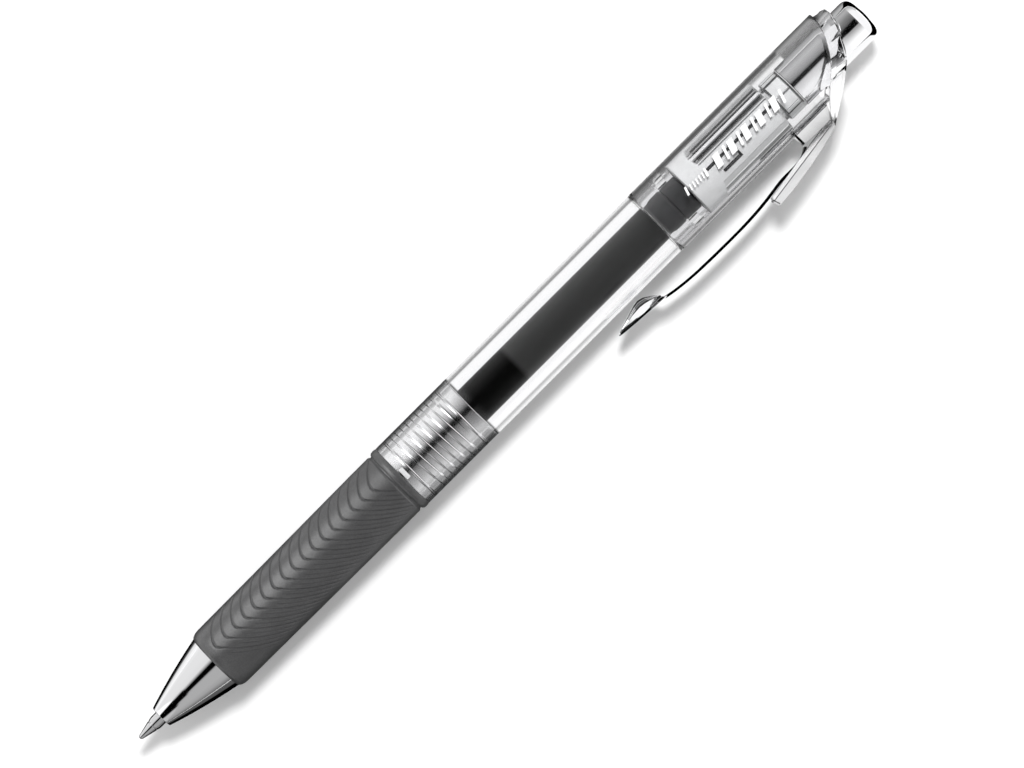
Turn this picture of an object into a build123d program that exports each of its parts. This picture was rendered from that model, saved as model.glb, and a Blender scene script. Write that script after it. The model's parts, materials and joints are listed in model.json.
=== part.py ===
from build123d import *
import math
import os

# A retractable gel pen lying on its side, in millimetres.
# X runs along the axis from the writing point (x = 0) to the push button, the clip is on the -Y side, Z is up.
# Stored with the point out, which is how it writes. Radii are measured from the axis.

# ---- driving dimensions ----
ball_r = 0.35             # 0.7 mm writing ball
lip_x = 0.22              # front lip of the metal tip, behind the ball's crown
tip_r = 1.05              # straight part of the metal tip
tip_taper_end_x = 3.35
tip_groove_x = 2.6
mouth_x = 4.37            # nose cone: front opening
cone_end_x = 15.4         # nose cone: rear edge, front of the grip
cone_mouth_r = 1.78
cone_end_r = 4.58
cone_bulge = 0.17         # how far the cone's side swells past a straight line
grip_end_x = 53.1         # rear face of the grip's rim, front of the clear barrel
grip_front_r = 5.08
grip_rear_r = 5.28
grip_rim_r = 5.5
core_r = 4.35             # inner barrel under the rubber
barrel_r = 5.42
bore_r = 4.65             # bore of the clear barrel
sleeve_end_x = 67.0       # rear edge of the metallised spiral sleeve
sleeve_bore_r = 4.05
spiral_pitch = 2.0
housing_x = 104.2         # seam between clear barrel and upper housing
housing_r = 5.47
housing_bore_r = 4.75
button_end_x = 146.4
button_r = 3.525

# ---- refill ----
tube_r = 3.015
tube_bore_r = 2.45
tube_front_x = 24.0
plug_x = 104.2            # front face of the tail plug's head
plug_end_x = 110.6
plug_r = 2.965
plug_hole_r = 1.05        # centring hole for the rotor's nose
ink_end_x = 75.8
follower_end_x = 99.0
meniscus = 0.8            # depth of the hollow at the end of the ink and of the grease
holder_x = 11.0           # front face of the plastic tip holder
holder_end_x = 30.0
holder_r = 1.6
tip_end_x = 16.0          # end of the metal tip's shank in the holder
shank_r = 0.9
duct_r = 1.2              # ink duct through the holder
flange_x = 22.5           # the spring pushes on this flange

# ---- return spring ----
wire_r = 0.25
spring_mean_r = 2.15
spring_seat_x = 12.9
spring_turns = 7

# ---- nose thread ----
thread_pitch = 1.0
thread_start_x = 16.0
thread_turns = 3
thread_root_r = 3.55
thread_depth = 0.25
thread_base_width = 0.55
thread_crest_width = 0.2
thread_clearance = 0.07
spigot_end_x = 19.6
spigot_bore_r = 2.75

# ---- hollow of the nose, which the bush fills ----
mouth_bore_r = 1.2
cavity_x = 6.2
cavity_r = 1.35
cavity_end_x = 12.6
cavity_end_r = 3.05
cavity_step_x = 13.0

# ---- click mechanism ----
land_r = 3.1              # inner radius of the guide's lands
groove_r = 4.15           # bottom of the grooves between the lands
land_x = 113.4
land_end_x = 127.5
groove_count = 8
groove_width = 1.4
fin_width = 1.15
fin_r = 4.05
guide_x = 107.5
guide_end_x = 127.9
latch_limits = (111.8, 113.1, -5.1, -4.6, -0.8, 0.8)   # catch that holds the guide in the housing
rotor_teeth_x = 114.0
crown_x = 114.15          # tips of the plunger's teeth, just behind the rotor's
plunger_r = 2.95
collar_x = 128.55         # front of the plunger's collar, 0.8 mm of over-travel behind the lands
collar_r = 3.4
skirt_x = 131.5           # front edge of the chrome button
button_wall = 0.3
stem_r = button_r - button_wall
stem_end = [(144.6, 0), (145.4, stem_r - 1.2), (144.6, stem_r - 0.3), (144.3, stem_r)]

# ---- clip and hood ----
strip_half_width = 2.0
strip_thickness = 0.4
arm_half_width = 2.9
arm_flange = 0.5
root_x = 126.85           # front face of the clip's root
root_half_width = 1.6


def turned(*points):
    """Solid of revolution about X from a closed outline of (x, radius) points."""
    outline = make_face(Polyline(*points, close=True))
    return revolve(outline, Axis.X)


def tube(x0, x1, outer, inner=0.0):
    """Plain ring or rod between two stations."""
    return turned((x0, inner), (x1, inner), (x1, outer), (x0, outer))


def block(x0, x1, y0, y1, z0, z1):
    """Box given by its limits."""
    middle = ((x0 + x1) / 2, (y0 + y1) / 2, (z0 + z1) / 2)
    return Pos(*middle) * Box(x1 - x0, y1 - y0, z1 - z0)


def helical_ridge(x_start, turns, pitch, root_r, depth, base_width, crest_width):
    """Right-handed ridge round X, sunk a little into the cylinder it stands on."""
    sink = 0.1
    path = Helix(pitch=pitch, height=pitch * turns, radius=root_r)
    start = Plane(origin=path @ 0, x_dir=(1, 0, 0), z_dir=path % 0)
    section = start * make_face(
        Polyline(
            (-sink, -base_width / 2),
            (-sink, base_width / 2),
            (depth, crest_width / 2),
            (depth, -crest_width / 2),
            close=True,
        )
    )
    ridge = sweep(section, path=path, is_frenet=True)
    return Pos(x_start, 0, 0) * Rot(0, 90, 0) * ridge


def around(solid, count, phase=0.0):
    """Copies of a solid spaced evenly round X."""
    return [Rot(phase + 360 * i / count, 0, 0) * solid for i in range(count)]


def fused(base, others):
    """One solid from a base and a list of others."""
    for other in others:
        base = base + other
    return base


# ---- refill ----
def writing_ball():
    return Pos(ball_r, 0, 0) * Sphere(ball_r)


def refill_tip():
    """Steel tip with a socket round the ball and a shank that is pressed into the holder."""
    ink_bore_r = 0.3
    ball_clearance = 0.01
    body = turned(
        (lip_x, 0),
        (lip_x, 0.36),
        (tip_groove_x - 0.08, 0.88),
        (tip_groove_x, 0.84),
        (tip_groove_x + 0.08, 0.92),
        (tip_taper_end_x, tip_r),
        (holder_x, tip_r),
        (holder_x, shank_r),
        (tip_end_x, shank_r),
        (tip_end_x, 0),
    )
    socket = Pos(ball_r, 0, 0) * Sphere(ball_r + ball_clearance)
    return body - socket - tube(ball_r, tip_end_x, ink_bore_r)


def tip_holder():
    """Plastic holder between the steel tip and the ink tube; its flange carries the spring."""
    step_x = 20.0
    step_r = 1.85
    body = turned(
        (holder_x, 0),
        (holder_x, holder_r - 0.15),
        (holder_x + 0.3, holder_r),
        (step_x, holder_r),
        (step_x + 0.4, step_r),
        (flange_x, step_r),
        (flange_x, tube_r - 0.1),
        (flange_x + 0.2, tube_r),
        (tube_front_x, tube_r),
        (tube_front_x, tube_bore_r),
        (holder_end_x, tube_bore_r),
        (holder_end_x, 0),
    )
    return body - tube(holder_x, tip_end_x, shank_r) - tube(tip_end_x, holder_end_x, duct_r)


def ink_tube():
    return tube(tube_front_x, plug_x, tube_r, tube_bore_r)


def ink():
    """Ink column, from the tip's shank through the holder to the follower."""
    return turned(
        (tip_end_x, 0),
        (tip_end_x, duct_r),
        (holder_end_x, duct_r),
        (holder_end_x, tube_bore_r),
        (ink_end_x - meniscus, tube_bore_r),
        (ink_end_x, duct_r),
        (ink_end_x, 0),
    )


def ink_follower():
    """Dark grease plug that follows the ink down the tube."""
    return turned(
        (ink_end_x, 0),
        (ink_end_x, duct_r),
        (ink_end_x - meniscus, tube_bore_r),
        (follower_end_x, tube_bore_r),
        (follower_end_x - meniscus, 0),
    )


def refill_plug():
    """Tail plug: a spigot in the ink tube, a head with a ring groove, a vent and a centring hole."""
    spigot_x = 100.5
    ring_x = 107.6
    vent_r = 0.4
    hole_x = 108.4
    body = turned(
        (spigot_x, 0),
        (spigot_x, tube_bore_r),
        (plug_x, tube_bore_r),
        (plug_x, plug_r),
        (ring_x - 0.15, plug_r),
        (ring_x, plug_r - 0.2),
        (ring_x + 0.15, plug_r),
        (plug_end_x - 0.3, plug_r),
        (plug_end_x, plug_r - 0.3),
        (plug_end_x, 0),
    )
    return body - tube(spigot_x, plug_end_x, vent_r) - tube(hole_x, plug_end_x, plug_hole_r)


def return_spring():
    """Wire spring between the nose bush and the refill's flange."""
    air = 0.02
    first = spring_seat_x + wire_r + air
    last = flange_x - wire_r - air
    height = last - first
    path = Helix(pitch=height / spring_turns, height=height, radius=spring_mean_r)
    section = Plane(origin=path @ 0, z_dir=path % 0) * Circle(wire_r)
    wire = sweep(section, path=path, is_frenet=True)
    return Pos(first, 0, 0) * Rot(0, 90, 0) * wire


# ---- nose ----
def nose_cone():
    """Chromed cone with a threaded spigot that screws into the inner barrel."""
    middle_x = (mouth_x + cone_end_x) / 2
    middle_r = (cone_mouth_r + cone_end_r) / 2 + cone_bulge
    side = ThreePointArc((mouth_x + 0.12, cone_mouth_r), (middle_x, middle_r), (cone_end_x, cone_end_r))
    rest = Polyline(
        (cone_end_x, cone_end_r),
        (cone_end_x, thread_root_r),
        (spigot_end_x, thread_root_r),
        (spigot_end_x, spigot_bore_r),
        (cavity_step_x, spigot_bore_r),
        (cavity_end_x, cavity_end_r),
        (cavity_x, cavity_r),
        (cavity_x, mouth_bore_r),
        (mouth_x, mouth_bore_r),
        (mouth_x, cone_mouth_r - 0.12),
        (mouth_x + 0.12, cone_mouth_r),
    )
    body = revolve(make_face([side, rest]), Axis.X)
    ridge = helical_ridge(
        thread_start_x,
        thread_turns,
        thread_pitch,
        thread_root_r,
        thread_depth,
        thread_base_width,
        thread_crest_width,
    )
    return body + ridge


def nose_bush():
    """Plastic bush in the cone: guides the tip and seats the spring."""
    gap = 0.05
    guide_r = 1.12
    guide_end = 9.2
    seat_bore_r = 1.75
    collar_bore_r = 2.5
    collar_end_x = 14.6
    return turned(
        (cavity_x + gap, guide_r),
        (guide_end, guide_r),
        (guide_end, seat_bore_r),
        (spring_seat_x, seat_bore_r),
        (spring_seat_x, collar_bore_r),
        (collar_end_x, collar_bore_r),
        (collar_end_x, spigot_bore_r - gap),
        (cavity_step_x - gap, spigot_bore_r - gap),
        (cavity_end_x, cavity_end_r - gap),
        (cavity_x + gap, cavity_r - gap),
    )


# ---- front barrel ----
def grip_core():
    """Inner barrel: threaded for the nose, carries the rubber, plugs into the clear barrel."""
    core_end_x = 66.5
    socket_end_x = 20.2
    refill_bore_r = 3.2
    body = turned(
        (cone_end_x, thread_root_r + thread_clearance),
        (socket_end_x, thread_root_r + thread_clearance),
        (socket_end_x + 0.6, refill_bore_r),
        (core_end_x, refill_bore_r),
        (core_end_x, sleeve_bore_r),
        (grip_end_x, sleeve_bore_r),
        (grip_end_x, core_r),
        (cone_end_x, core_r),
    )
    groove = helical_ridge(
        thread_start_x - thread_pitch,
        thread_turns + 2,
        thread_pitch,
        thread_root_r,
        thread_depth + thread_clearance,
        thread_base_width + 2 * thread_clearance,
        thread_crest_width + 2 * thread_clearance,
    )
    return body - groove


def grip_sleeve():
    """Rubber grip with a rounded front edge, a slight swell and a rim at the back."""
    neck_x = 51.7
    neck_r = grip_rear_r - 0.25
    swell_x = 30.0
    swell_end_x = 48.0
    return turned(
        (cone_end_x, core_r),
        (cone_end_x, grip_front_r - 0.56),
        (cone_end_x + 0.35, grip_front_r - 0.23),
        (cone_end_x + 1.4, grip_front_r),
        (swell_x, grip_front_r + 0.07),
        (swell_end_x, grip_rear_r),
        (neck_x - 0.35, grip_rear_r),
        (neck_x - 0.1, neck_r),
        (neck_x + 0.1, neck_r),
        (neck_x + 0.3, grip_rim_r - 0.05),
        (neck_x + 0.6, grip_rim_r),
        (grip_end_x - 0.2, grip_rim_r),
        (grip_end_x, grip_rim_r - 0.1),
        (grip_end_x, core_r),
    )


def spiral_sleeve():
    """Metallised sleeve inside the clear barrel: two rings, a spiral ridge and a locating key."""
    base_r = 4.3
    crest_r = bore_r - 0.05
    sink = 0.1
    ring_half = 0.25
    key_half_width = 0.9
    body = tube(grip_end_x, sleeve_end_x, base_r, sleeve_bore_r)
    rings = [tube(x - ring_half, x + ring_half, crest_r, base_r - sink) for x in (54.6, 64.95)]
    spiral = helical_ridge(56.0, 4, spiral_pitch, base_r, crest_r - base_r, 1.2, 0.8)
    key = block(53.3, 54.0, -key_half_width, key_half_width, base_r - sink, crest_r)
    return fused(body, rings + [spiral, key])


def barrel_tube():
    """Clear barrel with a thinner spigot that enters the upper housing."""
    spigot_end = 107.4
    spigot_bore = 4.05
    return turned(
        (grip_end_x, bore_r),
        (housing_x - 1.2, bore_r),
        (housing_x - 0.6, spigot_bore),
        (spigot_end, spigot_bore),
        (spigot_end, housing_bore_r),
        (housing_x, housing_bore_r),
        (housing_x, barrel_r),
        (grip_end_x, barrel_r),
    )


# ---- click mechanism ----
def cam_guide():
    """Guide sleeve in the housing: lands and grooves that steer the plunger and latch the rotor."""
    body = turned(
        (guide_x, groove_r),
        (land_x, groove_r),
        (land_x + 0.6, land_r),
        (guide_end_x, land_r),
        (guide_end_x, housing_bore_r),
        (guide_x, housing_bore_r),
    )
    channel = block(land_x - 1, land_end_x, 2.0, groove_r, -groove_width / 2, groove_width / 2)
    for cut in around(channel, groove_count):
        body = body - cut
    for y in (3.55, -4.4):
        body = body - block(107.9, 109.5, y, y + 0.85, -housing_r, housing_r)
    rear_relief = tube(land_end_x, guide_end_x, groove_r, land_r - 0.1)
    return body - rear_relief + block(*latch_limits)


def cam_rotor():
    """Turning cam: four ribs latch on the lands, teeth at the back meet the plunger's."""
    nose_x = plug_end_x
    pin_r = plug_hole_r - 0.05
    spindle_r = 2.0
    spindle_end_x = 119.0
    body = turned(
        (nose_x - 1.8, 0),
        (nose_x - 1.8, pin_r),
        (nose_x, pin_r),
        (nose_x, plunger_r - 0.3),
        (nose_x + 0.3, plunger_r),
        (rotor_teeth_x - 0.7, plunger_r),
        (rotor_teeth_x - 0.7, spindle_r),
        (spindle_end_x - 0.4, spindle_r),
        (spindle_end_x, spindle_r - 0.4),
        (spindle_end_x, 0),
    )
    rib = block(nose_x + 0.7, land_x - 0.1, 2.5, fin_r, -fin_width / 2, fin_width / 2)
    teeth = around(saw_tooth(rotor_teeth_x - 0.75, rotor_teeth_x, 1.0), groove_count)
    return fused(body, around(rib, groove_count // 2) + teeth)


def saw_tooth(root_x, tip_x, tip_y):
    """Wedge tooth above the axis, steep on one flank, between the rotor's spindle and the plunger's wall."""
    half = 1.0
    face = make_face(Polyline((root_x, -half), (tip_x, tip_y), (root_x, half), close=True))
    return Pos(0, 0, 2.1) * extrude(face, 0.8)


def plunger():
    """Plunger: crown of teeth at the front, fins in the grooves, stem inside the button."""
    socket_r = 2.15
    socket_end_x = 124.0
    body = turned(
        (crown_x + 0.75, socket_r),
        (socket_end_x, socket_r),
        (socket_end_x + 1.0, 0),
        *stem_end,
        (skirt_x, stem_r),
        (skirt_x, collar_r),
        (collar_x, collar_r),
        (collar_x - 0.3, plunger_r),
        (crown_x + 0.75, plunger_r),
    )
    fin = block(117.0, 125.0, 2.6, fin_r, -fin_width / 2, fin_width / 2)
    teeth = around(saw_tooth(crown_x + 0.8, crown_x, -1.0), groove_count)
    return fused(body, around(fin, groove_count) + teeth)


def push_button():
    """Chromed cap with a rounded, slightly domed end, pressed on the plunger's stem."""
    shoulder_x = button_end_x - 1.75
    rim_r = 2.0
    sag = 0.22
    dome_r = (rim_r**2 + sag**2) / (2 * sag)
    half_angle = math.asin(rim_r / dome_r) / 2
    centre_x = button_end_x - dome_r
    rim = (button_end_x - sag, rim_r)
    middle = (centre_x + dome_r * math.cos(half_angle), dome_r * math.sin(half_angle))
    corner_middle = (button_end_x - 0.72, button_r - 0.505)
    corner = ThreePointArc((shoulder_x, button_r), corner_middle, rim)
    crown = ThreePointArc(rim, middle, (button_end_x, 0))
    back = Polyline((button_end_x, 0), (skirt_x, 0), (skirt_x, button_r), (shoulder_x, button_r))
    body = revolve(make_face([corner, crown, back]), Axis.X)
    return body - turned((skirt_x, 0), *stem_end, (skirt_x, stem_r))


# ---- clip and hood, drawn in the XY plane ----
hood_outer = [
    (142.6, 4.8), (142.4, 2.1), (141.2, -0.4), (139.6, -2.9),
    (138.3, -4.0), (136.5, -5.4), (134.3, -6.85), (131.9, -8.4),
]
hood_inner = [
    (132.5, -7.1), (134.3, -4.9), (136.1, -3.2), (137.6, -1.7),
    (138.9, 0.1), (140.4, 3.4), (140.8, 5.5),
]
arm_outer = [(131.9, -8.4), (125.7, -9.88), (118.5, -10.8)]
arm_inner = [(118.2, -9.85), (131.5, -7.94), (132.5, -7.1)]
flange_outline = [(118.4, -9.2), (118.2, -9.9), (131.5, -8.0), (132.4, -7.2), (131.0, -7.2)]
bridge_outline = [(127.2, -4.6), (127.2, -7.1), (132.0, -7.3), (133.0, -7.0), (134.0, -5.4), (134.0, -4.6)]
bridge_half_width = 1.7
# the hood from the front: the round housing narrows to the arm, in (y, z)
hood_neck = [
    (-2.6, 4.8), (-2.6, -4.8), (-8.2, -arm_half_width),
    (-11.0, -arm_half_width), (-11.0, arm_half_width), (-8.2, arm_half_width),
]
strip_line = [
    (126.9, -7.45), (126.1, -8.06), (122.1, -8.44), (118.5, -8.85),
    (107.5, -9.3), (99.3, -8.8), (97.2, -8.42),
]
foot_plan = [
    (98.2, 1.9), (95.5, 2.6), (91.5, 1.9), (89.0, 0),
    (91.5, -1.9), (95.5, -2.6), (98.2, -1.9),
]
foot_rim = [(97.6, -8.66), (97.3, -8.1), (89.6, -7.5), (89.1, -7.8), (89.3, -8.1)]
spoon_line = [(96.9, -7.9), (96.5, -6.9), (94.3, -5.8), (91.8, -6.3), (89.9, -7.3)]


def hood_face():
    """Side outline of the slanted plate and its arm."""
    return make_face(
        [
            Spline(*hood_outer),
            Spline(*arm_outer),
            Line(arm_outer[-1], arm_inner[0]),
            Polyline(*arm_inner),
            Spline(*hood_inner),
            Line(hood_inner[-1], hood_outer[0]),
        ]
    )


def clip_hood():
    """Clear slanted end plate with the button's hole, and the arm that shields the clip."""
    slab = extrude(hood_face(), 7, both=True)
    neck = make_face(Polyline(*hood_neck, close=True))
    front_view = Plane.YZ * (Circle(housing_r) + neck)
    shape = slab & (Pos(110, 0, 0) * extrude(front_view, 40))
    hole = tube(120, 150, button_r + 0.1)
    side = make_face(Polyline(*flange_outline, close=True))
    flange = Pos(0, 0, arm_half_width - arm_flange) * extrude(side, arm_flange)
    bridge = extrude(make_face(Polyline(*bridge_outline, close=True)), bridge_half_width, both=True)
    bridge = bridge - tube(120, 140, housing_r)
    return shape - hole + flange + mirror(flange, Plane.XY) + bridge


def upper_housing():
    """Clear housing whose rear end is cut to the hood's slanted face; a slot holds the clip's root."""
    body = tube(housing_x, 141.5, housing_r, housing_bore_r)
    beyond = make_face(
        [
            Spline(*hood_inner),
            Polyline(hood_inner[-1], (150, 8), (150, -9), (132.5, -9), hood_inner[0]),
        ]
    )
    slot_half_width = root_half_width + 0.15
    slot = block(root_x - 0.15, 134.6, -6, -4, -slot_half_width, slot_half_width)
    return body - extrude(beyond, 8, both=True) - slot - block(*latch_limits)


def clip_root():
    """Fixed end of the clip: a tab with a leg that lies in the housing's slot."""
    leg = block(root_x, 133.9, -5.2, -4.8, -root_half_width, root_half_width)
    tab = block(root_x, root_x + 0.3, -7.1, -4.8, -root_half_width, root_half_width)
    return leg + tab


def clip_strip():
    """Sprung strip of the clip, ending in a flat rim with a hollow-looking spoon under it."""
    half = strip_thickness / 2
    spine = Spline(*strip_line)
    steps = [i / 16 for i in range(17)]
    side = [(spine % t).rotate(Axis.Z, 90) * half for t in steps]
    near = [spine @ t + offset for t, offset in zip(steps, side)]
    far = [spine @ t - offset for t, offset in zip(steps, side)]
    outline = [Spline(*near), Line(near[-1], far[-1]), Spline(*far), Line(far[0], near[0])]
    strip = extrude(make_face(outline), strip_half_width, both=True)
    return strip + clip_foot()


def clip_foot():
    """Foot of the clip: a teardrop rim and the rounded spoon that slides over cloth."""
    plan = make_face([Spline(*foot_plan), Line(foot_plan[-1], foot_plan[0])])
    teardrop = Pos(0, -12, 0) * extrude(Plane.XZ * plan, -8)
    rim = extrude(make_face(Polyline(*foot_rim, close=True)), 4, both=True) & teardrop
    spoon_side = [
        Spline(*spoon_line),
        Polyline(spoon_line[-1], (90.2, -7.9), spoon_line[0]),
    ]
    bowl = Pos(94.0, -8.0, 0) * scale(Sphere(1), (4.2, 2.25, 2.35))
    spoon = extrude(make_face(spoon_side), 4, both=True) & bowl
    return rim + spoon


nodes = {
    "writing_ball": writing_ball,
    "refill_tip": refill_tip,
    "tip_holder": tip_holder,
    "ink_tube": ink_tube,
    "ink": ink,
    "ink_follower": ink_follower,
    "refill_plug": refill_plug,
    "return_spring": return_spring,
    "nose_cone": nose_cone,
    "nose_bush": nose_bush,
    "grip_core": grip_core,
    "grip_sleeve": grip_sleeve,
    "spiral_sleeve": spiral_sleeve,
    "barrel_tube": barrel_tube,
    "cam_guide": cam_guide,
    "cam_rotor": cam_rotor,
    "plunger": plunger,
    "push_button": push_button,
    "upper_housing": upper_housing,
    "clip_hood": clip_hood,
    "clip_root": clip_root,
    "clip_strip": clip_strip,
}

os.makedirs("parts", exist_ok=True)
for name, build in nodes.items():
    export_step(build(), f"parts/{name}.step")
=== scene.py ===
import json
import math

import bmesh
import bpy
import numpy as np
from mathutils import Matrix, Vector


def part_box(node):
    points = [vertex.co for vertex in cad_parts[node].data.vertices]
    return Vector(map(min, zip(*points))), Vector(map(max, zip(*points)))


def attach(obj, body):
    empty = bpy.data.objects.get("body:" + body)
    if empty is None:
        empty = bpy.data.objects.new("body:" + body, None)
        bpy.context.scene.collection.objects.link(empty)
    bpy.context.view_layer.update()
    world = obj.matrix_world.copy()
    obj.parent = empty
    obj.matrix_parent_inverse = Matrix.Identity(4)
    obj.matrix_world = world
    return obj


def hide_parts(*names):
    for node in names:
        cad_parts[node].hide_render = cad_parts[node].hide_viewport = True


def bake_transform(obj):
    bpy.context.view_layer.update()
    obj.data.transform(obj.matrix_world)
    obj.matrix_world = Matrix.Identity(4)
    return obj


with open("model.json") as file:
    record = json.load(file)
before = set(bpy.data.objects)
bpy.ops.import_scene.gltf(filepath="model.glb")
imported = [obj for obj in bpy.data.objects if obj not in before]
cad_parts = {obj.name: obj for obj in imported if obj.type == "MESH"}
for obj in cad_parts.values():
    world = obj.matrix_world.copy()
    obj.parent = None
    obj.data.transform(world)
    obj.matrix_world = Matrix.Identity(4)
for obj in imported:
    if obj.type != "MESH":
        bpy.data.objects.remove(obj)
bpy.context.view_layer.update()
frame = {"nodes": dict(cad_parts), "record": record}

MM = 0.001
SEGMENTS = 160


# ---- places taken from the frame, in millimetres ----
def span(node, axis=0):
    """Lowest and highest coordinate of a CAD node along one axis."""
    low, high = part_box(node)
    return low[axis] / MM, high[axis] / MM


def radius(node):
    """Largest distance of a round CAD node from the axis."""
    return span(node, 2)[1]


mouth_x, spigot_end_x = span("nose_cone")
grip_x, grip_end_x = span("grip_sleeve")
sleeve_end_x = span("spiral_sleeve")[1]
barrel_spigot_end_x = span("barrel_tube")[1]
housing_x = span("upper_housing")[0]
plug_end_x = span("refill_plug")[1]
tube_front_x, plug_x = span("ink_tube")
ink_end_x = span("ink_follower")[0] + 0.8
skirt_x, button_end_x = span("push_button")
cone_r = radius("nose_cone")
rim_r = radius("grip_sleeve")
barrel_r = radius("barrel_tube")
housing_r = radius("upper_housing")
button_r = radius("push_button")
tube_r = radius("ink_tube")
plug_r = radius("refill_plug")
sleeve_r = radius("spiral_sleeve")
bore_r = sleeve_r + 0.05
housing_bore_r = 4.75
floor_z = -rim_r


# ---- node helpers ----
def shader(name):
    """A new material and its empty node tree."""
    material = bpy.data.materials.new(name)
    material.use_nodes = True
    tree = material.node_tree
    tree.nodes.clear()
    return material, tree


def add(tree, kind, inputs=None, **settings):
    """Adds a shader node; inputs maps socket names to values or to other nodes' outputs."""
    node = tree.nodes.new("ShaderNode" + kind)
    for key, value in settings.items():
        setattr(node, key, value)
    for key, value in (inputs or {}).items():
        if isinstance(value, bpy.types.NodeSocket):
            tree.links.new(value, node.inputs[key])
        else:
            node.inputs[key].default_value = value
    return node


def ramp(tree, factor, stops):
    """Colour ramp from (position, grey or colour) stops."""
    node = add(tree, "ValToRGB", {"Fac": factor})
    elements = node.color_ramp.elements
    while len(elements) > 1:
        elements.remove(elements[-1])
    for index, (position, colour) in enumerate(stops):
        element = elements[0] if index == 0 else elements.new(position)
        element.position = position
        element.color = (colour, colour, colour, 1) if isinstance(colour, float) else (*colour, 1)
    return node.outputs["Color"]


def place_on(tree):
    """Object coordinates, in metres."""
    return add(tree, "TexCoord").outputs["Object"]


def coordinate(tree, axis):
    """One of the object coordinates."""
    return add(tree, "SeparateXYZ", {"Vector": place_on(tree)}).outputs[axis]


def share_of(tree, value, start, end, to=(0.0, 1.0), **settings):
    """Value mapped from start...end to another range."""
    inputs = {"Value": value, "From Min": start, "From Max": end, "To Min": to[0], "To Max": to[1]}
    return add(tree, "MapRange", inputs, **settings).outputs["Result"]


def math_node(tree, operation, first, second, **settings):
    """Result of a Math node."""
    return add(tree, "Math", {0: first, 1: second}, operation=operation, **settings).outputs[0]


def noise_value(tree, scale, detail=3.0):
    return add(tree, "TexNoise", {"Vector": place_on(tree), "Scale": scale, "Detail": detail}).outputs["Fac"]


def bump(tree, height, strength, distance):
    return add(tree, "Bump", {"Height": height, "Strength": strength, "Distance": distance}).outputs["Normal"]


def principled(tree, **inputs):
    """Principled surface; an underscore in a name stands for a space."""
    sockets = {name.replace("_", " "): value for name, value in inputs.items()}
    return add(tree, "BsdfPrincipled", sockets).outputs["BSDF"]


def finish_material(material, surface):
    add(material.node_tree, "OutputMaterial", {"Surface": surface})
    return material


def multiplied(tree, colour, factor):
    mixed = add(tree, "Mix", {0: 1.0}, data_type="RGBA", blend_type="MULTIPLY")
    sockets = [socket for socket in mixed.inputs if socket.type == "RGBA"]
    tree.links.new(colour, sockets[0])
    tree.links.new(factor, sockets[1])
    return [socket for socket in mixed.outputs if socket.type == "RGBA"][0]


def painted_groove_shade(tree, colour, floor):
    """Paints shade into a colour where the mesh says that a point lies deep in a groove: the deeper, the
    darker.
    """
    depth = add(tree, "Attribute", attribute_name="recess").outputs["Fac"]
    return multiplied(tree, colour, ramp(tree, depth, [(0.0, 1.0), (1.0, floor)]))


# ---- materials ----
def chrome(name, base=0.78, rough=0.07):
    """Bright plate: a little haze that varies, and very faint waviness."""
    material, tree = shader(name)
    haze = ramp(tree, noise_value(tree, 900), [(0.3, rough), (0.7, rough * 1.6)])
    waves = bump(tree, noise_value(tree, 260, 1.0), 0.04, 0.00005)
    surface = principled(
        tree, Base_Color=(base, base, base * 1.01, 1), Metallic=1.0, Roughness=haze, Normal=waves
    )
    return finish_material(material, surface)


def shade_through(tree, outside_r):
    """How much light a clear part lets on to the floor: none where a ray enters it beyond outside_r."""
    if outside_r is None:
        return (0.85, 0.85, 0.85, 1)
    across_axis = (0, 1, 1)
    flat = add(tree, "VectorMath", {0: place_on(tree), 1: across_axis}, operation="MULTIPLY")
    from_axis = add(tree, "VectorMath", {0: flat.outputs["Vector"]}, operation="LENGTH")
    outer = math_node(tree, "GREATER_THAN", from_axis.outputs["Value"], outside_r * MM)
    leaving = add(tree, "NewGeometry").outputs["Backfacing"]
    entering = math_node(tree, "SUBTRACT", outer, leaving, use_clamp=True)
    return ramp(tree, entering, [(0.0, 0.94), (1.0, 0.0)])


def clouded(tree, body, below):
    """Mixes a pale haze into a clear body below a level of Y."""
    fade = 0.6
    share = share_of(tree, coordinate(tree, "Y"), below * MM, (below + fade) * MM, (0.42, 0.0))
    cloud = add(tree, "BsdfDiffuse", {"Color": (0.9, 0.9, 0.905, 1)}).outputs["BSDF"]
    return add(tree, "MixShader", {0: share, 1: body, 2: cloud}).outputs["Shader"]


def clear(name, tint=0.985, rough=0.0, outside_r=None, cloud_below=None):
    """Clear moulding that bends light; for shadows it is plainly see-through."""
    material, tree = shader(name)
    body = principled(
        tree,
        Base_Color=(tint, tint, tint * 1.005, 1),
        Roughness=rough,
        IOR=1.49,
        Transmission_Weight=1.0,
        Normal=bump(tree, noise_value(tree, 120, 1.0), 0.03, 0.00008),
    )
    if cloud_below is not None:
        body = clouded(tree, body, cloud_below)
    through = add(tree, "BsdfTransparent", {"Color": shade_through(tree, outside_r)}).outputs["BSDF"]
    is_shadow = add(tree, "LightPath").outputs["Is Shadow Ray"]
    surface = add(tree, "MixShader", {0: is_shadow, 1: body, 2: through})
    return finish_material(material, surface.outputs["Shader"])


def rubber():
    """Dark grey moulded rubber with a fine matt texture and painted shade in its grooves."""
    material, tree = shader("grip_rubber")
    base = ramp(tree, noise_value(tree, 350), [(0.3, (0.044, 0.044, 0.045)), (0.7, (0.054, 0.054, 0.055))])
    speckle = ramp(tree, noise_value(tree, 5000, 2.0), [(0.35, 0.82), (0.65, 1.18)])
    # painted shade: the colour falls to 35 % at the bottom of the grooves
    tone = painted_groove_shade(tree, multiplied(tree, base, speckle), 0.35)
    grain = bump(tree, noise_value(tree, 6000, 2.0), 0.3, 0.00004)
    surface = principled(tree, Base_Color=tone, Roughness=0.34, Specular_IOR_Level=1.0, Normal=grain)
    return finish_material(material, surface)


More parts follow.
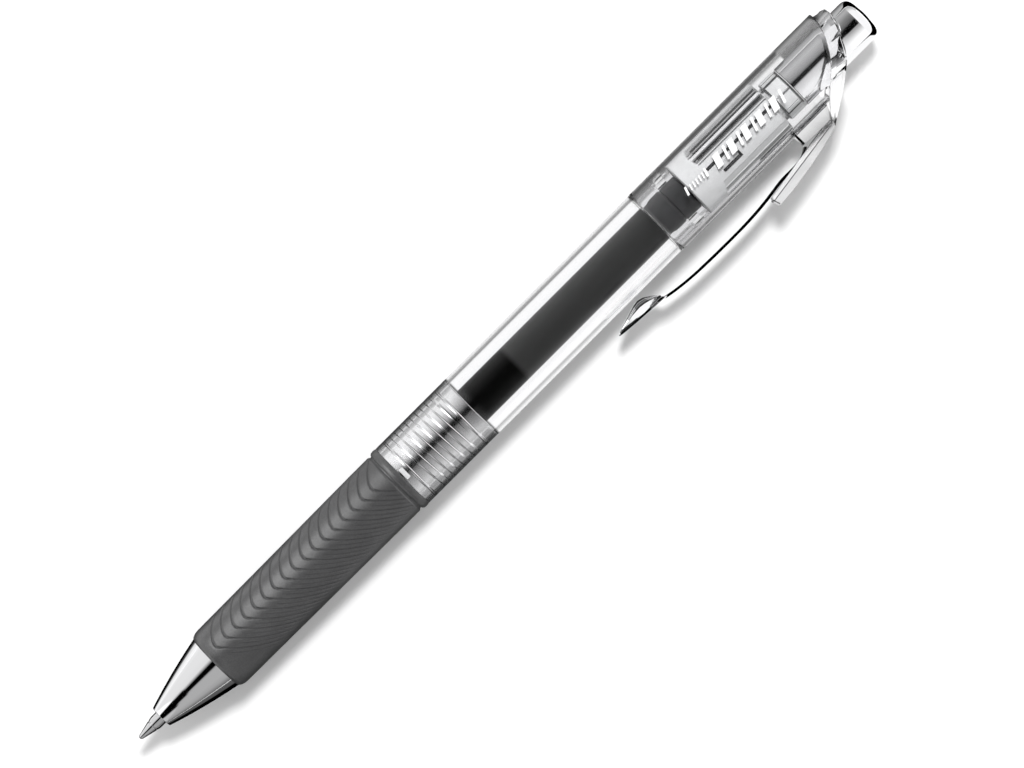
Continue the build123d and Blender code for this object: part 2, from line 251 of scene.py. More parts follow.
def plastic(name, colour, rough, spread=0.06, specular=0.5):
    """Moulded plastic with a slightly uneven tone, fine texture and painted shade in its grooves."""
    material, tree = shader(name)
    dark = tuple(c * (1 - spread) for c in colour)
    light = tuple(min(1.0, c * (1 + spread)) for c in colour)
    # painted shade: the colour falls to 4 % where the mesh marks a point as deepest in a groove
    tone = painted_groove_shade(tree, ramp(tree, noise_value(tree, 700), [(0.3, dark), (0.7, light)]), 0.04)
    grain = bump(tree, noise_value(tree, 4200, 2.0), 0.12, 0.00003)
    surface = principled(
        tree, Base_Color=tone, Roughness=rough, Specular_IOR_Level=specular, IOR=1.45, Normal=grain
    )
    return finish_material(material, surface)


def inked_tube():
    """Ink tube seen filled: black ink in front, dark follower grease behind it."""
    material, tree = shader("inked_tube")
    share = share_of(tree, coordinate(tree, "X"), tube_front_x * MM, plug_x * MM)
    meet = (ink_end_x - tube_front_x) / (plug_x - tube_front_x)
    stops = [(0.0, 0.002), (meet - 0.005, 0.002), (meet + 0.005, 0.036), (1.0, 0.04)]
    tone = ramp(tree, share, stops)
    gloss = ramp(tree, share, [(meet - 0.005, 0.1), (meet + 0.005, 0.3)])
    waves = bump(tree, noise_value(tree, 60, 1.0), 0.03, 0.00005)
    surface = principled(tree, Base_Color=tone, Roughness=0.3, Specular_IOR_Level=gloss, Normal=waves)
    return finish_material(material, surface)


def turned_metal(name, base, rough):
    """Turned or drawn metal with fine marks round the axis."""
    material, tree = shader(name)
    stretch = add(tree, "Mapping", {"Vector": place_on(tree), "Scale": (9000, 200, 200)})
    rings = add(tree, "TexNoise", {"Vector": stretch.outputs["Vector"], "Scale": 1.0, "Detail": 2.0})
    marks = bump(tree, rings.outputs["Fac"], 0.08, 0.00002)
    surface = principled(
        tree, Base_Color=(base, base, base * 1.01, 1), Metallic=1.0, Roughness=rough, Normal=marks
    )
    return finish_material(material, surface)


look = {
    "chrome": chrome("chrome_plate", 0.85, 0.045),
    "metallised": chrome("metallised_plastic", 0.88, 0.1),
    "clip_metal": chrome("clip_metal", 0.8, 0.06),
    "clear_plastic": clear("clear_plastic", outside_r=5.1),
    "arm_plastic": clear("arm_plastic", outside_r=5.1, cloud_below=-8.3),
    "guide_plastic": clear("guide_plastic", 0.96, 0.02),
    "rubber": rubber(),
    "milky_plastic": plastic("milky_plastic", (0.76, 0.765, 0.77), 0.3, spread=0.03, specular=0.3),
    "tube_plastic": inked_tube(),
    "core_plastic": plastic("core_plastic", (0.45, 0.455, 0.46), 0.45),
    "grey_plastic": plastic("grey_plastic", (0.08, 0.08, 0.082), 0.3, specular=0.3),
    "ink": plastic("gel_ink", (0.006, 0.006, 0.007), 0.15),
    "follower": plastic("follower_grease", (0.04, 0.04, 0.042), 0.25),
    "steel": turned_metal("turned_steel", 0.72, 0.11),
    "spring_steel": turned_metal("spring_wire", 0.6, 0.22),
    "carbide": turned_metal("carbide_ball", 0.42, 0.1),
    "print": plastic("white_print", (0.86, 0.86, 0.86), 0.5, spread=0.02),
}
slot_of = {part["node"]: part["material_slot"] for part in frame["record"]["subparts"]}
for node, obj in frame["nodes"].items():
    obj.data.materials.clear()
    obj.data.materials.append(look[slot_of[node]])


# ---- mesh helpers ----
def settle(mesh, smooth_angle, weld=0.0):
    """Joins close points, turns every face outwards and smooths all but the sharp edges."""
    work = bmesh.new()
    work.from_mesh(mesh)
    if weld:
        bmesh.ops.remove_doubles(work, verts=work.verts, dist=weld)
    bmesh.ops.recalc_face_normals(work, faces=work.faces)
    work.to_mesh(mesh)
    work.free()
    mesh.polygons.foreach_set("use_smooth", [True] * len(mesh.polygons))
    mesh.set_sharp_from_angle(angle=math.radians(smooth_angle))


def new_object(name, data):
    obj = bpy.data.objects.new(name, data)
    bpy.context.scene.collection.objects.link(obj)
    return obj


def new_mesh(name, points, faces):
    """Mesh from points in millimetres."""
    mesh = bpy.data.meshes.new(name)
    mesh.from_pydata([tuple(c * MM for c in p) for p in points], [], faces)
    return mesh


def mesh_object(name, points, faces, slot, smooth_angle=35, recess=None):
    """New object from points in millimetres; recess is how deep each point lies in a groove, 0 to 1, which
    the materials turn into painted shade.
    """
    mesh = new_mesh(name, points, faces)
    mesh.validate()
    settle(mesh, smooth_angle)
    if recess is not None:
        layer = mesh.attributes.new("recess", "FLOAT", "POINT")
        layer.data.foreach_set("value", recess)
    obj = new_object(name, mesh)
    mesh.materials.append(look[slot])
    return obj


def soften(points, size, hold=0.12):
    """Rounds the corners of a closed outline and adds points beside them that hold the shading."""
    steps = 3
    out = []
    count = len(points)
    for i, point in enumerate(points):
        here = Vector(point)
        before = Vector(points[i - 1]) - here
        after = Vector(points[(i + 1) % count]) - here
        turn = math.pi - before.angle(after)
        if turn < math.radians(12):
            out.append(tuple(here))
            continue
        reach = min(size, before.length * 0.4, after.length * 0.4)
        start = here + before.normalized() * reach
        end = here + after.normalized() * reach
        if before.length * 0.45 > reach + hold:
            out.append(tuple(start + before.normalized() * hold))
        for k in range(steps + 1):
            t = k / steps
            out.append(tuple((1 - t) ** 2 * start + 2 * t * (1 - t) * here + t * t * end))
        if after.length * 0.45 > reach + hold:
            out.append(tuple(end + after.normalized() * hold))
    return out


def turns_of(count):
    """Equal angles all round, in radians."""
    return [2 * math.pi * j / count for j in range(count)]


def ring_faces(rows, columns, close_rows=False):
    """Quads of a grid whose points are stored row by row; each row closes on itself."""
    faces = []
    for i in range(rows if close_rows else rows - 1):
        for j in range(columns):
            a = i * columns + j
            b = i * columns + (j + 1) % columns
            c = ((i + 1) % rows) * columns + (j + 1) % columns
            d = ((i + 1) % rows) * columns + j
            faces.append((a, b, c, d))
    return faces


def end_faces(rows, columns):
    """The two faces that close the first and the last row of a grid."""
    return [tuple(range(columns))[::-1], tuple((rows - 1) * columns + k for k in range(columns))]


def round_point(x, r, angle):
    """Point at a station, a radius and an angle counted from +Y towards +Z."""
    return (x, r * math.cos(angle), r * math.sin(angle))


def lathe(name, outline, slot, segments=SEGMENTS, smooth_angle=35):
    """Surface of revolution about X. An outline that starts and ends on the axis is closed there."""
    on_axis = outline[0][1] < 1e-6 and outline[-1][1] < 1e-6
    body = outline[1:-1] if on_axis else outline
    points = [round_point(x, r, turn) for x, r in body for turn in turns_of(segments)]
    faces = ring_faces(len(body), segments, close_rows=not on_axis)
    if on_axis:
        first = len(points)
        points += [(outline[0][0], 0, 0), (outline[-1][0], 0, 0)]
        last_row = (len(body) - 1) * segments
        for j in range(segments):
            k = (j + 1) % segments
            faces.append((first, k, j))
            faces.append((first + 1, last_row + j, last_row + k))
    return mesh_object(name, points, faces, slot, smooth_angle)


def refined(name, node):
    """Copy of a CAD node with welded vertices and smooth shading."""
    mesh = frame["nodes"][node].data.copy()
    mesh.name = name
    obj = new_object(name, mesh)
    settle(mesh, 30, weld=2e-6)
    mesh.materials.clear()
    mesh.materials.append(look[slot_of[node]])
    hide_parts(node)
    return obj


def cut_away(work, place, normal, **side):
    """Cuts an edited mesh at a plane (place in millimetres), drops one side and closes the opening."""
    everything = work.verts[:] + work.edges[:] + work.faces[:]
    cut = bmesh.ops.bisect_plane(work, geom=everything, plane_co=place * MM, plane_no=normal, **side)
    rim = [e for e in cut["geom_cut"] if isinstance(e, bmesh.types.BMEdge)]
    bmesh.ops.triangle_fill(work, edges=rim, use_beauty=True)


def cut_square(piece, x, **side):
    """Cuts a piece across the pen at x and drops one side."""
    work = bmesh.new()
    work.from_mesh(piece.data)
    cut_away(work, Vector((x, 0, 0)), (1, 0, 0), **side)
    work.to_mesh(piece.data)
    work.free()
    settle(piece.data, 30)


def arc(start, end, bulge):
    """Points of a shallow arc between two outline points, swelling outwards by bulge."""
    a, b = Vector(start), Vector(end)
    shares = [i / 24 for i in range(25)]
    side = Vector((-(b - a).y, (b - a).x)).normalized()
    return [tuple(a.lerp(b, share) + side * bulge * 4 * share * (1 - share)) for share in shares]


# ---- nose and refill tip ----
def make_nose():
    mouth_r = 1.78
    side = arc((mouth_x + 0.14, mouth_r), (grip_x, cone_r), 0.17)
    outline = (
        [(mouth_x, 1.2), (mouth_x, mouth_r - 0.12), (mouth_x + 0.05, mouth_r - 0.04)]
        + side
        + [(grip_x, cone_r - 0.1), (grip_x, 3.55)]
    )
    inside = [(spigot_end_x, 3.55), (spigot_end_x, 2.75), (13.0, 2.75), (12.6, 3.05), (6.2, 1.35), (6.2, 1.2)]
    cone = lathe("nose_cone_plated", outline + [(15.9, 3.55)] + inside, "chrome", smooth_angle=28)
    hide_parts("nose_cone")
    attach(cone, "nose")
    ridge = make_thread("nose_thread", 16.0, 3, 1.0, 3.5, 3.8)
    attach(ridge, "nose")


def make_thread(name, start_x, turns, pitch, root_r, crest_r):
    """Right-handed thread ridge as a swept trapezoid with ends that run out."""
    steps, run_out = 72 * turns, 18
    section = [(-0.275, root_r), (-0.1, crest_r), (0.1, crest_r), (0.275, root_r)]
    points = []
    for i in range(steps + 1):
        angle = 2 * math.pi * turns * i / steps
        fade = min(1.0, i / run_out, (steps - i) / run_out)
        for offset, r in section:
            level = root_r + (r - root_r) * fade
            x = start_x + pitch * turns * i / steps + offset
            points.append(round_point(x, level, math.pi / 2 - angle))
    faces = ring_faces(steps + 1, len(section)) + end_faces(steps + 1, len(section))
    return mesh_object(name, points, faces, "chrome", 40)


def make_refill_tip():
    lip_x, groove_x, taper_end_x, tip_r = 0.22, 2.6, 3.35, 1.05
    outline = (
        [(0.42, 0.0), (0.42, 0.3), (lip_x + 0.02, 0.31), (lip_x, 0.35)]
        + [(groove_x - 0.1, 0.89), (groove_x - 0.04, 0.84), (groove_x + 0.06, 0.85), (groove_x + 0.12, 0.93)]
        + [(taper_end_x - 0.25, 1.02), (taper_end_x, tip_r), (taper_end_x + 0.3, tip_r)]
        + [(11.0, tip_r), (11.0, 0.9), (16.0, 0.9), (16.0, 0.0)]
    )
    tip = lathe("refill_tip_turned", outline, "steel", 96, 24)
    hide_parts("refill_tip")
    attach(tip, "refill")
    ball_r = radius("writing_ball")
    lapped_r = ball_r - 0.002
    steps = 16
    arc_points = [
        (ball_r - lapped_r * math.cos(math.pi * i / steps), lapped_r * math.sin(math.pi * i / steps))
        for i in range(steps + 1)
    ]
    ball = lathe("writing_ball_lapped", arc_points, "carbide", 48, 60)
    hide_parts("writing_ball")
    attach(ball, "ball")


# ---- grip ----
GROOVE_FIRST, GROOVE_PITCH, GROOVE_COUNT = 17.3, 1.97, 17


def groove_depth(x, angle):
    """Depth of the chevron grooves at a station and an angle in degrees from +Y towards +Z."""
    depth = 0.0
    near_end, far_end, nose_r = -60, 88, 0.9
    for vertex in (71, 251):
        turn = (angle - vertex + 180) % 360 - 180
        if not near_end < turn < far_end:
            continue
        slope = 0.064 if turn < 0 else 0.105
        wave = math.hypot(slope * turn, nose_r) - nose_r
        fade = min(1.0, (turn - near_end) / 10, (far_end - turn) / 22)
        order = (x - wave - GROOVE_FIRST) / GROOVE_PITCH
        near = min(max(round(order), 0), GROOVE_COUNT - 1)
        gap = abs(order - near) * GROOVE_PITCH
        strength = 1.0 if turn < 12 else 0.7
        depth = max(depth, strength * fade * max(0.0, 1 - gap / 0.2) ** 0.8)
        if turn > 16:
            middle = abs(order - math.floor(order) - 0.5) * GROOVE_PITCH
            inside = -1 <= order <= GROOVE_COUNT - 1
            depth = max(depth, inside * 0.5 * min(fade, (turn - 16) / 8) * max(0.0, 1 - middle / 0.2))
    return depth


def grip_profile():
    """Outer outline of the rubber: rounded front, slight swell, neck and rim."""
    neck = 51.7
    front = [(grip_x, 4.5), (grip_x + 0.06, 4.62), (grip_x + 0.2, 4.76), (grip_x + 0.45, 4.9)]
    front += [(grip_x + 0.85, 5.02), (grip_x + 1.4, 5.08), (30.0, 5.15), (48.0, 5.28), (neck - 0.4, 5.28)]
    rim = [(neck - 0.25, 5.2), (neck - 0.08, 5.04), (neck + 0.1, 5.06), (neck + 0.2, 5.3)]
    rim += [(neck + 0.4, 5.44), (neck + 0.75, rim_r), (grip_end_x - 0.3, 5.47), (grip_end_x, 5.36)]
    return front + rim


def make_grip():
    profile = grip_profile()
    xs, rs = zip(*profile)
    stations = sorted(set(np.round(np.arange(grip_x, grip_end_x, 0.09), 4)) | set(xs))
    columns = 360  # one for each degree
    points, recess = [], []
    for x in stations:
        r = float(np.interp(x, xs, rs))
        body = grip_x + 1.0 < x < 51.2
        for angle in range(columns):
            cut = groove_depth(x, angle) if body else 0.0
            # the groove depth also drives the painted shade in the rubber's grooves
            recess.append(cut)
            points.append(round_point(x, r - 0.13 * cut, math.radians(angle)))
    rows = len(stations)
    inner = 4.35
    for x in (grip_end_x, grip_x):
        points += [round_point(x, inner, turn) for turn in turns_of(columns)]
    faces = ring_faces(rows + 2, columns, close_rows=True)
    recess += [0.0] * (2 * columns)
    grip = mesh_object("grip_rubber_grooved", points, faces, "rubber", 50, recess)
    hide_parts("grip_sleeve")
    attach(grip, "barrel")


# ---- metallised sleeve ----
def make_spiral_sleeve():
    base_r, crest_r, pitch, first, last = bore_r + 0.02, bore_r + 0.075, 2.0, 55.4, 64.2
    columns = 144
    stations = list(np.arange(grip_end_x, sleeve_end_x + 1e-6, 0.05)) + [sleeve_end_x]
    stations = sorted(set(np.round(stations, 4)))

    def level(x, angle):
        ridge = 0.0
        for ring in (54.6, 64.95):
            ridge = max(ridge, min(1.0, max(0.0, 1 - (abs(x - ring) - 0.02) / 0.24)))
        if first < x < last:
            phase = (x - 56.5) / pitch - (angle - math.pi / 2) / (2 * math.pi)
            offset = abs(phase - round(phase)) * pitch
            fade = min(1.0, (x - first) / 0.5, (last - x) / 0.5)
            ridge = max(ridge, fade * min(1.0, max(0.0, 1 - (offset - 0.36) / 0.28)))
        return base_r + (crest_r - base_r) * ridge * ridge * (3 - 2 * ridge)

    points = []
    for x in stations:
        end = 0.12 * max(0.0, 1 - (sleeve_end_x - x) / 0.12)
        points += [round_point(x, level(x, turn) - end, turn) for turn in turns_of(columns)]
    inner = 4.05
    for x in (sleeve_end_x, grip_end_x):
        points += [round_point(x, inner, turn) for turn in turns_of(columns)]
    faces = ring_faces(len(stations) + 2, columns, close_rows=True)
    sleeve = mesh_object("spiral_sleeve_metallised", points, faces, "metallised", 50)
    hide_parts("spiral_sleeve")
    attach(sleeve, "barrel")
    key = rounded_block("locating_key", (53.3, 54.0), (-0.9, 0.9), (bore_r - 0.1, bore_r + 0.4))
    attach(key, "barrel")


def rounded_block(name, xs, ys, zs):
    """Small block with rounded edges, made from a rounded outline swept up in layers."""
    edge = 0.06
    corners = [(xs[0], ys[0]), (xs[1], ys[0]), (xs[1], ys[1]), (xs[0], ys[1])]
    layers = [(zs[0], edge), (zs[0] + edge * 0.3, edge * 0.3), (zs[0] + edge, 0.0)]
    layers += [(zs[1] - edge, 0.0), (zs[1] - edge * 0.3, edge * 0.3), (zs[1], edge)]
    middle = Vector((sum(xs) / 2, sum(ys) / 2))
    half = Vector(((xs[1] - xs[0]) / 2, (ys[1] - ys[0]) / 2))
    loop = soften(corners, edge * 2, 0.05)
    points = []
    for z, inset in layers:
        for p in loop:
            away = Vector(p) - middle
            shrink = Vector((1 - inset / half.x, 1 - inset / half.y))
            points.append((*(middle + away * shrink), z))
    count = len(loop)
    faces = ring_faces(len(layers), count) + end_faces(len(layers), count)
    return mesh_object(name, points, faces, "milky_plastic", 40)


# ---- clear barrel and housing ----
def make_barrel():
    outline = [
        (grip_end_x, bore_r),
        (housing_x - 0.1, bore_r),
        (housing_x - 0.1, 4.05),
        (barrel_spigot_end_x, 4.05),
        (barrel_spigot_end_x, housing_bore_r - 0.01),
        (housing_x, housing_bore_r - 0.01),
        (housing_x, barrel_r),
        (grip_end_x, barrel_r),
    ]
    barrel = lathe("clear_barrel", soften(outline, 0.06), "clear_plastic")
    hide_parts("barrel_tube")
    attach(barrel, "barrel")


# the hood's front and rear edges, as (y, x)
hood_front = [
    (-7.1, 132.5), (-4.9, 134.3), (-3.2, 136.1), (-1.7, 137.6), (0.1, 138.9), (3.4, 140.4), (5.5, 140.8),
]
hood_rear = [
    (-8.4, 131.9), (-6.85, 134.3), (-5.4, 136.5), (-4.0, 138.3), (-2.9, 139.6), (-0.4, 141.2), (2.1, 142.4),
    (5.5, 142.65),
]


def between(table, value):
    """Linear reading of an ascending table."""
    return float(np.interp(value, *zip(*table)))


def smooth_line(points):
    """Catmull-Rom line through the points, as a list of vectors."""
    steps = 8
    given = [Vector(p) for p in points]
    padded = [given[0] * 2 - given[1]] + given + [given[-1] * 2 - given[-2]]
    line = []
    for a, b, c, d in zip(padded, padded[1:], padded[2:], padded[3:]):
        for k in range(steps):
            t = k / steps
            square, cube = 2 * a - 5 * b + 4 * c - d, 3 * b - a - 3 * c + d
            line.append(0.5 * (2 * b + (c - a) * t + square * t**2 + cube * t**3))
    return line + [given[-1]]


def make_housing():
    """Clear tube whose rear end follows the slanted face of the hood."""
    cut = smooth_line(hood_front)
    inner, edge = housing_bore_r, 0.12
    front = [(0, edge, inner), (0, 0, inner + edge * 0.5), (0, 0, housing_r - edge * 0.5)]
    front += [(0, edge * 0.3, housing_r - edge * 0.15), (0, edge, housing_r)]
    rear = [(1, -edge, housing_r), (1, -edge * 0.3, housing_r - edge * 0.15), (1, 0, housing_r - edge * 0.5)]
    rear += [(1, 0, inner + edge * 0.5), (1, -edge, inner)]
    shares = (0.02, 0.25, 0.5, 0.75, 0.97)
    rows = front + [(share, 0, housing_r) for share in shares] + rear
    rows += [(share, 0, inner) for share in reversed(shares)]
    points = []
    for share, shift, r in rows:
        for turn in turns_of(SEGMENTS):
            stop = between(cut, r * math.cos(turn)) - 0.03
            points.append(round_point(housing_x + (stop - housing_x) * share + shift, r, turn))
    faces = ring_faces(len(rows), SEGMENTS, close_rows=True)
    housing = mesh_object("clear_housing", points, faces, "clear_plastic", 40)
    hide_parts("upper_housing")
    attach(housing, "barrel")


# ---- click mechanism ----
def shell(name, stations, outer, inner_r):
    """Milky tube whose outer radius is a function of the station and the angle, with painted shade in its
    hollows.
    """
    columns = 480
    places = [(x, turn) for x in stations for turn in turns_of(columns)]
    levels = [outer(x, turn) for x, turn in places]
    top = max(levels)
    # painted shade: points down to 0.5 mm below the highest level are marked darker the lower they lie
    recess = [min(1.0, (top - r) / 0.5) for r in levels] + [0.0] * (2 * columns)
    points = [round_point(x, r, turn) for (x, turn), r in zip(places, levels)]
    for x in (stations[-1], stations[0]):
        points += [round_point(x, inner_r, turn) for turn in turns_of(columns)]
    faces = ring_faces(len(stations) + 2, columns, close_rows=True)
    return mesh_object(name, points, faces, "milky_plastic", recess=recess)


def dip(value, middle, half, depth, edge=0.05):
    """Depth of a flat-bottomed groove with steep sides."""
    return depth * min(1.0, max(0.0, 1 - (abs(value - middle) - half) / edge))


def make_guide():
    """Guide: clear front ring, then the milky part with its lengthwise ribs and grooves, painted shade in the
    grooves, and dark strips of painted shade and painted reflection on it.
    """
    front = refined("guide_front_clear", "cam_guide")
    cut_square(front, 110.6, clear_outer=True)
    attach(front, "barrel")

    full_r, first, lands, last = 4.66, 110.7, 113.6, 127.6
    grooves = [
        (3.85, 0.33, 0.28), (3.38, 0.15, 0.5), (2.98, 0.1, 0.5), (2.22, 0.14, 0.5), (1.9, 0.2, 0.34),
        (1.38, 0.04, 0.35), (-3.0, 0.35, 0.1), (-3.75, 0.28, 0.24), (-4.45, 0.12, 0.5),
    ]
    box_x, box_y = (116.1, 119.7), (-0.6, -1.9)

    def outer(x, angle):
        y = full_r * math.cos(angle)
        start = lands + 0.22 * abs(y - 3.0) if y > 0 else 114.2 + 0.45 * (y + 4.3)
        rise = min(1.0, max(0.0, (x - start) / 0.3))
        level = 0.0
        for middle, half, depth in grooves:
            level = max(level, rise * dip(y, middle, half, depth))
        level = max(level, min(1.0, max(0.0, (x - 114.4) / 0.1)) * dip(y, 0.1, 0.17, 0.5))
        if box_x[0] < x < box_x[1] and box_y[1] < y < box_y[0]:
            level = max(level, dip(y, -1.7, 0.18, 0.5), dip(x, 119.5, 0.16, 0.5), 0.06)
        ends = (dip(x, 127.45, 0.1, 0.12), dip(x, first, 0.02, 0.2, 0.15), dip(x, last, 0.02, 0.2, 0.1))
        return full_r - max(level, *ends)

    stations = [first, first + 0.06, first + 0.2, 112.0, 113.3]
    stations += [round(113.5 + 0.1 * i, 3) for i in range(142)]
    ribs = shell("guide_ribs_milky", stations, outer, 4.16)
    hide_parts("cam_guide")
    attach(ribs, "barrel")
    # dark strips painted on the guide: painted shade along the ribs and round the box, and a painted dark
    # reflected streak along the top (the strip at y 0.02 to 0.2)
    middle, width = 121.0, 12.7
    bars = [(middle, width, low, low + 0.12) for low in (3.43, 2.96, 2.18)]
    bars += [(middle, width, 0.02, 0.2), (middle, width, 1.93, 1.98), (middle, width, -4.56, -4.42)]
    bars += [(124.2, 6.4, -4.06, -3.92), (118.0, 3.4, -1.86, -1.66), (119.6, 0.18, -1.7, 0.1)]
    lines = curved_bars("guide_shade_and_reflection_strips", bars, full_r - 0.34, full_r + 0.02, "grey_plastic")
    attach(lines, "barrel")


def make_collar():
    """Bands of the plunger's collar, with painted shade in them and dark strips of painted shade and painted
    reflection.
    """
    full_r = 3.59
    bands = [(2.65, 0.26, 0.24), (3.5, 0.1, 0.1), (0.1, 0.1, 0.45), (-1.9, 0.04, 0.3), (-2.6, 0.5, 0.08)]
    bands.append((-3.5, 0.2, 0.35))

    def outer(x, angle):
        y = full_r * math.cos(angle)
        side = max(dip(x, 128.36, 0.0, 0.15, 0.06), dip(x, 131.2, 0.14, 0.4, 0.08))
        return full_r - max(side, *(dip(y, *band) for band in bands))

    stations = [128.36 + 0.1 * i for i in range(31)]
    collar = shell("plunger_collar_bands", stations, outer, 3.1)
    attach(collar, "knock")
    # dark strips on the collar: painted shade along its edges, in its top band and along the gap at its rear
    # edge, and a painted dark reflected streak near y 0.1
    bars = [(129.6, 3.2, 2.34, 2.66), (131.24, 0.22, -2.7, 3.2), (129.8, 2.8, -2.5, -2.32)]
    bars += [(128.5, 0.12, -2.3, 2.3), (129.8, 2.7, 3.02, 3.1), (130.4, 1.6, 0.06, 0.16)]
    lines = curved_bars("collar_shade_and_reflection_strips", bars, full_r - 0.3, full_r + 0.02, "grey_plastic")
    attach(lines, "knock")


def taper_plate(work):
    """Makes the hood's front edge lower than its rear edge all round."""
    for vert in work.verts:
        x, y, z = (c / MM for c in vert.co)
        neck = 4.8 - max(0.0, -2.6 - y) * 0.3393
        outside = math.hypot(y, z) > 5.25 if y > -2.6 else abs(z) > neck - 0.2
        if not outside:
            continue
        front = abs(x - between(hood_front, y)) < abs(x - between(hood_rear, y))
        vert.co.z *= 0.85 if front else 0.99
        if y > 0:
            vert.co.y *= 0.9 if front else 0.94


def make_hood():
    """Hood in two pieces with bevelled edges: the slanted plate, and the arm over the clip."""
    corner = Vector((132.2, -7.75, 0))
    plate_normal = Vector((0.908, -0.419, 0))
    for name, away, slot in (("hood_plate", 1, "clear_plastic"), ("hood_arm", -1, "arm_plastic")):
        piece = refined(name, "clip_hood")
        piece.data.materials[0] = look[slot]
        work = bmesh.new()
        work.from_mesh(piece.data)
        normal = plate_normal * away
        cut_away(work, corner + normal * 0.01, normal, clear_inner=True)
        bmesh.ops.recalc_face_normals(work, faces=work.faces)
        bmesh.ops.dissolve_limit(work, angle_limit=math.radians(1.0), verts=work.verts, edges=work.edges)
        if away == 1:
            taper_plate(work)
        hard = [e for e in work.edges if len(e.link_faces) == 2 and e.calc_face_angle() > math.radians(35)]
        edge = {"offset": 0.22 * MM, "segments": 2, "profile": 0.5}
        bmesh.ops.bevel(work, geom=hard, affect="EDGES", clamp_overlap=True, **edge)
        bmesh.ops.triangulate(work, faces=work.faces)
        work.to_mesh(piece.data)
        work.free()
        settle(piece.data, 18)
        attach(piece, "barrel")


def make_mark():
    """White printed pattern without any letters: slanted bars in two sizes on the housing."""
    lean = 0.32
    bars = [(110.3, 0.34, 0.62)] + [(111.1 + 0.6 * i, 0.2, 0.42) for i in range(5)] + [(114.1, 0.34, 0.62)]
    x = 116.0
    for i in range(10):
        wide = 1.05 if i % 2 == 0 else 0.42
        bars.append((x + wide / 2, wide, 0.98))
        x += wide + (0.85 if i % 2 == 0 else 0.5)
    bars = [(middle, width, -half, half) for middle, width, half in bars]
    mark = curved_bars("white_mark", bars, housing_r - 0.006, housing_r + 0.018, "print", lean)
    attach(mark, "barrel")


def plate_section(low, high, half):
    """Rounded rectangle in (y, z), 16 points."""
    edge = min(0.07, half * 0.9, (high - low) * 0.45)
    corners = []
    middles = ((high - edge, 1), (low + edge, 1), (low + edge, -1), (high - edge, -1))
    for start, (y, z_sign) in zip((0, 90, 180, 270), middles):
        for k in range(4):
            turn = math.radians(start + 30 * k)
            corners.append((y + edge * math.cos(turn), z_sign * (half - edge) + edge * math.sin(turn)))
    return corners


def spoon_section(top, ridge, foot, half, drop):
    """Closed (y, z) section: arched back from the top edge to the ridge, then slanted faces to the foot."""
    steps = 10
    steep, flat = math.radians(52), math.radians(6)
    arch = [(ridge, half)]
    for k in range(steps):
        tilt = flat + (steep - flat) * (k + 0.5) / steps
        y, z = arch[-1]
        step = (top - ridge) / steps
        arch.append((y + step, max(0.2, z - step * math.tan(tilt))))
    side = arch[::-1]
    side += [(ridge + (foot - ridge) * t, half - drop * t) for t in (0.12, 0.4, 0.7, 1.0)]
    return side + [(y, -z) for y, z in reversed(side)]


def clip_loft(name, rows):
    """Skin of clip metal over (x, section) rows, with closed ends."""
    count = len(rows[0][1])
    points = [(x, y, z) for x, section in rows for y, z in section]
    faces = ring_faces(len(rows), count)
    for j in (0, len(rows) - 1):
        x, section = rows[j]
        points.append((x, sum(y for y, _ in section) / count, 0.0))
        faces += [(len(points) - 1, j * count + i, j * count + (i + 1) % count) for i in range(count)]
    return mesh_object(name, points, faces, "clip_metal")


def make_arm_dark_line():
    """Thin dark grey strips on both faces of the arm, along the line where it meets its flange."""
    points, faces = [], []
    lines = (((118.25, -9.78), (131.55, -7.87)), ((118.2, -9.6), (118.55, -10.65)))
    half_width = 0.07
    for sign in (1, -1):
        for start, end in lines:
            run = Vector(end) - Vector(start)
            side = Vector((-run.y, run.x)).normalized() * half_width
            base = len(points)
            for z in (2.88, 2.915):
                for (x, y), way in ((start, 1), (start, -1), (end, -1), (end, 1)):
                    points.append((x + way * side.x, y + way * side.y, sign * z))
            faces += [(base, base + 1, base + 2, base + 3), (base + 4, base + 7, base + 6, base + 5)]
            for i in range(4):
                k = (i + 1) % 4
                faces.append((base + i, base + i + 4, base + k + 4, base + k))
    dark_strips = mesh_object("arm_dark_line", points, faces, "grey_plastic", 30)
    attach(dark_strips, "barrel")


rim_top = [(89.1, -7.68), (89.6, -7.66), (92.0, -7.82), (94.0, -7.93), (97.0, -7.98), (97.5, -8.12)]
rim_bottom = [(89.1, -7.9), (89.6, -7.98), (92.0, -8.2), (95.0, -8.4), (97.0, -8.5), (97.5, -8.52)]
rim_half = [(89.1, 0.8), (89.4, 0.85), (95.0, 0.95), (96.3, 1.25), (97.5, 2.0)]
spoon_top = [
    (89.45, -7.5), (91.0, -6.98), (92.5, -6.48), (93.5, -6.18), (94.4, -6.04), (95.3, -6.26), (96.2, -6.85),
    (96.9, -7.42), (97.3, -7.72),
]
spoon_ridge = [
    (89.45, -7.56), (91.0, -7.3), (92.5, -7.06), (94.0, -6.96), (95.0, -7.1), (96.0, -7.36), (97.3, -7.76),
]
spoon_half = [(89.45, 1.2), (90.0, 1.6), (91.5, 1.95), (93.5, 2.15), (95.5, 2.2), (96.8, 2.1), (97.3, 2.0)]


